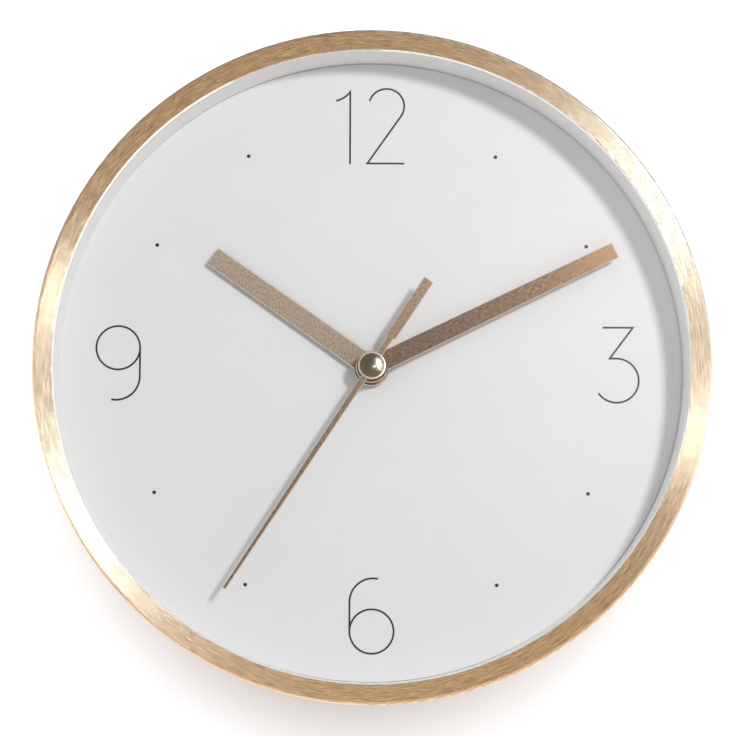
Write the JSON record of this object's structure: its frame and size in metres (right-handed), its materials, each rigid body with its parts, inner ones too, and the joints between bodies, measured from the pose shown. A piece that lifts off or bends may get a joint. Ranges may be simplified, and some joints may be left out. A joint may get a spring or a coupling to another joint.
{
  "type": "wall clock",
  "caption": "Round wall clock with a flat brushed gold rim, deep-set white dial, thin printed numerals, straight gold hands and a quartz movement behind.",
  "frame": {"origin": "on the hands' axis in the wall plane, at the middle of the case's rear edge", "axes": "+Y into the wall, the dial faces -Y, +Z to twelve o'clock, +X to three o'clock"},
  "size_m": [0.2, 0.041, 0.2],
  "materials": {
    "gold_rim": "gold anodised, brushed round the rim",
    "lens_glass": "clear polished flat glass",
    "surround_white": "white moulded satin",
    "dial_white": "matte white print on a thin plate",
    "dial_ink": "dark grey printed ink",
    "pan_white": "white moulded, fine grain",
    "plated_steel": "bright zinc plating",
    "washer_rubber": "black rubber",
    "movement_black": "black moulded, fine grain",
    "motor_iron": "bare soft iron",
    "bobbin_white": "natural nylon",
    "copper_wire": "lacquered copper wire",
    "board_green": "green solder mask",
    "crystal_can": "drawn metal can",
    "chip_black": "black epoxy",
    "contact_nickel": "nickel plated spring strip",
    "cell_jacket": "dark printed jacket with a copper-coloured band",
    "cell_steel": "nickel plated steel",
    "wheel_white": "natural acetal",
    "magnet_dark": "sintered magnet",
    "knob_grey": "black moulded",
    "hand_gold": "champagne gold, brushed along the hand",
    "bush_brass": "turned brass",
    "cap_brass": "polished brass"
  },
  "bodies": {
    "case": {"case_ring": "gold_rim", "lens": "lens_glass", "dial_surround": "surround_white", "dial": "dial_white", "numerals": "dial_ink", "hour_dots": "dial_ink", "back_pan": "pan_white", "hanger_plate": "plated_steel", "hanger_screws": "plated_steel", "movement_screws": "plated_steel", "rubber_washer": "washer_rubber", "movement_front_case": "movement_black", "movement_rear_cover": "movement_black", "stator": "motor_iron", "coil_core": "motor_iron", "coil_bobbin": "bobbin_white", "coil_winding": "copper_wire", "circuit_board": "board_green", "quartz_crystal": "crystal_can", "timing_chip": "chip_black", "positive_contact": "contact_nickel", "negative_contact": "contact_nickel"},
    "battery": {"battery_cell": "cell_jacket", "battery_cap": "cell_steel"},
    "rotor": {"rotor_pinion": "wheel_white", "rotor_magnet": "magnet_dark"},
    "intermediate": {"intermediate_wheel": "wheel_white"},
    "seconds": {"second_wheel": "wheel_white", "second_hand": "hand_gold", "second_tube": "bush_brass", "centre_cap": "cap_brass"},
    "third": {"third_wheel": "wheel_white"},
    "minutes": {"centre_wheel": "wheel_white", "minute_hand": "hand_gold", "minute_bush": "bush_brass"},
    "setting": {"minute_wheel": "wheel_white", "setting_knob": "knob_grey"},
    "hours": {"hour_wheel": "wheel_white", "hour_hand": "hand_gold", "hour_bush": "bush_brass"}
  },
  "joints": [
    {"name": "second_hand_turn", "type": "hinge", "parent": "case", "child": "seconds", "pos_m": [0, -0.012, 0], "axis": [0, 1, 0], "continuous": true},
    {"name": "rotor_turn", "type": "hinge", "parent": "case", "child": "rotor", "pos_m": [0.00909, -0.012, 0.01605], "axis": [0, 1, 0], "continuous": true},
    {"name": "intermediate_turn", "type": "hinge", "parent": "case", "child": "intermediate", "pos_m": [0, -0.012, 0.0108], "axis": [0, 1, 0], "continuous": true},
    {"name": "third_wheel_turn", "type": "hinge", "parent": "case", "child": "third", "pos_m": [-0.0108, -0.012, 0], "axis": [0, 1, 0], "continuous": true},
    {"name": "minute_hand_turn", "type": "hinge", "parent": "case", "child": "minutes", "pos_m": [0, -0.012, 0], "axis": [0, 1, 0], "continuous": true},
    {"name": "setting_knob_turn", "type": "hinge", "parent": "case", "child": "setting", "pos_m": [0.01128, -0.012, 0.0041], "axis": [0, 1, 0], "continuous": true},
    {"name": "hour_hand_turn", "type": "hinge", "parent": "case", "child": "hours", "pos_m": [0, -0.012, 0], "axis": [0, 1, 0], "continuous": true},
    {"name": "battery_slide", "type": "slide", "parent": "case", "child": "battery", "axis": [0, 1, 0], "range_m": [0, 0.03]}
  ],
  "couplings": [
    {"joint": "rotor_turn", "follows": "second_hand_turn", "ratio": 30},
    {"joint": "intermediate_turn", "follows": "second_hand_turn", "ratio": -5},
    {"joint": "third_wheel_turn", "follows": "second_hand_turn", "ratio": -0.13333},
    {"joint": "minute_hand_turn", "follows": "second_hand_turn", "ratio": 0.016667},
    {"joint": "setting_knob_turn", "follows": "second_hand_turn", "ratio": -0.0055556},
    {"joint": "hour_hand_turn", "follows": "second_hand_turn", "ratio": 0.0013889}
  ]
}
